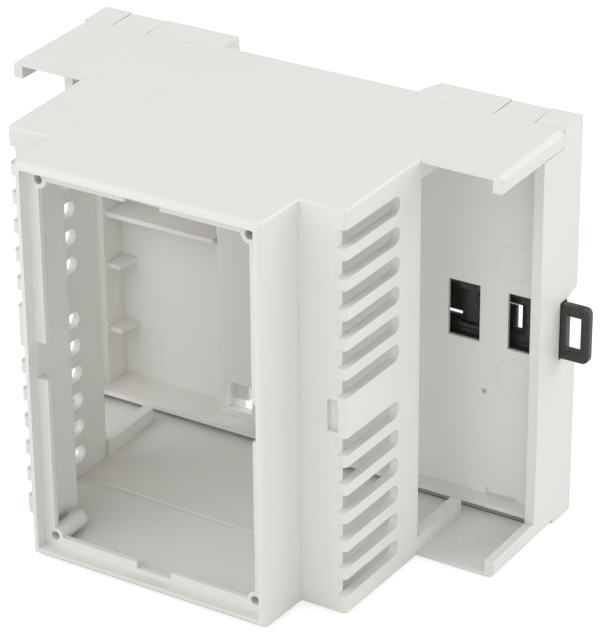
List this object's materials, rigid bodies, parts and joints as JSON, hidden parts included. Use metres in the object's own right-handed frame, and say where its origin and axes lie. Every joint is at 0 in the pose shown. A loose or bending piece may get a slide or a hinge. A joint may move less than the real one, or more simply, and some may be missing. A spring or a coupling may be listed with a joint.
{
  "type": "din rail enclosure",
  "caption": "Empty modular DIN rail enclosure: stepped hood with louvred shoulders and an open front, back moulding with a rail channel, and a sliding sprung rail clip with a pull loop.",
  "frame": {"origin": "middle of the rail seat, the plane where the rail's flanges lie against the back of the base", "axes": "+X across the rail towards the pull loop, +Y back towards the rail, +Z along the rail"},
  "size_m": [0.095, 0.058, 0.0708],
  "materials": {
    "housing_plastic": "satin moulded",
    "base_plastic": "satin moulded",
    "clip_plastic": "satin moulded"
  },
  "bodies": {
    "enclosure": {"housing": "housing_plastic", "base": "base_plastic"},
    "clip": {"rail_clip": "clip_plastic"}
  },
  "joints": [
    {"name": "clip_slide", "type": "slide", "parent": "enclosure", "child": "clip", "axis": [1, 0, 0], "range_m": [0, 0.0024], "stiffness_N_per_m": 1500}
  ]
}
